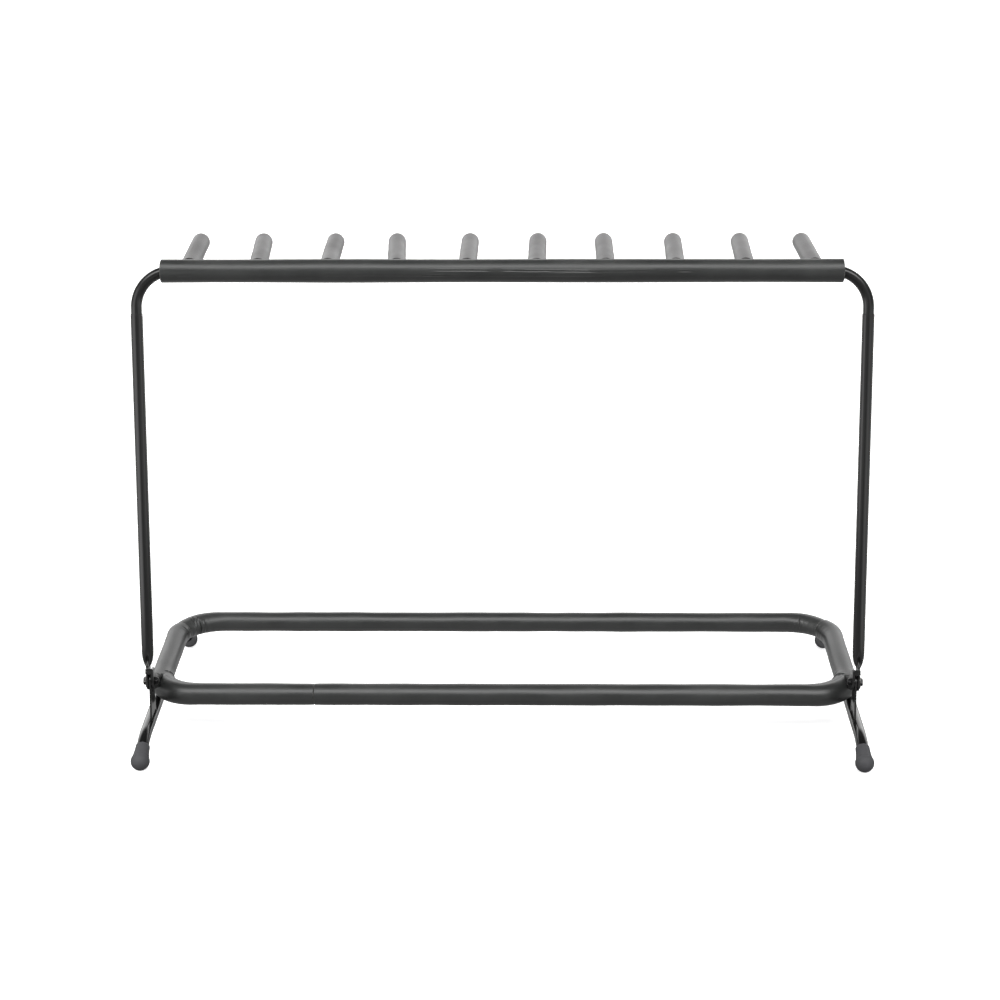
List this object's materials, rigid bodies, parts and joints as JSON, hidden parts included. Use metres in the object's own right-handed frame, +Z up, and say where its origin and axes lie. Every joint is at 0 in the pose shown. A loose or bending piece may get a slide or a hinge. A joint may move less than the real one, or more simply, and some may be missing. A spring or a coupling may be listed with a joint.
{
  "type": "guitar rack",
  "caption": "Folding rack for several guitars: padded floor cradle on two arched legs, leaning tube frame and a padded rail with foam-covered pegs.",
  "frame": {"origin": "centre of the rack's outer box, at floor level under its feet", "axes": "+X along the rack, +Y towards the side where the guitars stand, +Z up"},
  "size_m": [0.975, 0.4604, 0.6516],
  "materials": {
    "powder_coat": "gloss",
    "foam": "matte",
    "foot_rubber": "matte",
    "black_hardware": "satin",
    "nylon": "satin"
  },
  "bodies": {
    "left_leg": {"left_leg_tube": "powder_coat", "left_leg_ear": "powder_coat", "left_back_foot": "foot_rubber", "left_front_foot": "foot_rubber"},
    "cradle": {"loop_tube": "powder_coat", "left_lug": "powder_coat", "right_lug": "powder_coat", "left_sleeve": "foam", "back_right_sleeve": "foam", "front_sleeve": "foam", "pivot_bolts": "black_hardware", "pivot_washers": "black_hardware", "pivot_spacers": "nylon", "lock_nuts": "black_hardware"},
    "right_leg": {"right_leg_tube": "powder_coat", "right_leg_ear": "powder_coat", "right_back_foot": "foot_rubber", "right_front_foot": "foot_rubber"},
    "upper_frame": {"left_upright": "powder_coat", "right_upright": "powder_coat", "top_rail": "powder_coat", "rail_foam": "foam", "peg_rod_1": "powder_coat", "peg_rod_2": "powder_coat", "peg_rod_3": "powder_coat", "peg_rod_4": "powder_coat", "peg_rod_5": "powder_coat", "peg_rod_6": "powder_coat", "peg_rod_7": "powder_coat", "peg_rod_8": "powder_coat", "peg_rod_9": "powder_coat", "peg_rod_10": "powder_coat", "peg_foam_1": "foam", "peg_foam_2": "foam", "peg_foam_3": "foam", "peg_foam_4": "foam", "peg_foam_5": "foam", "peg_foam_6": "foam", "peg_foam_7": "foam", "peg_foam_8": "foam", "peg_foam_9": "foam", "peg_foam_10": "foam"}
  },
  "joints": [
    {"name": "cradle_fold", "type": "hinge", "parent": "left_leg", "child": "cradle", "pos_m": [0, -0.126, 0.088], "axis": [1, 0, 0], "range_deg": [0, 80]},
    {"name": "right_leg_fold", "type": "hinge", "parent": "cradle", "child": "right_leg", "pos_m": [0, -0.126, 0.088], "axis": [-1, 0, 0], "range_deg": [0, 80]},
    {"name": "upper_frame_fold", "type": "hinge", "parent": "cradle", "child": "upper_frame", "pos_m": [0, -0.126, 0.088], "axis": [-1, 0, 0], "range_deg": [0, 74]}
  ],
  "couplings": [
    {"joint": "right_leg_fold", "follows": "cradle_fold", "ratio": 1}
  ]
}
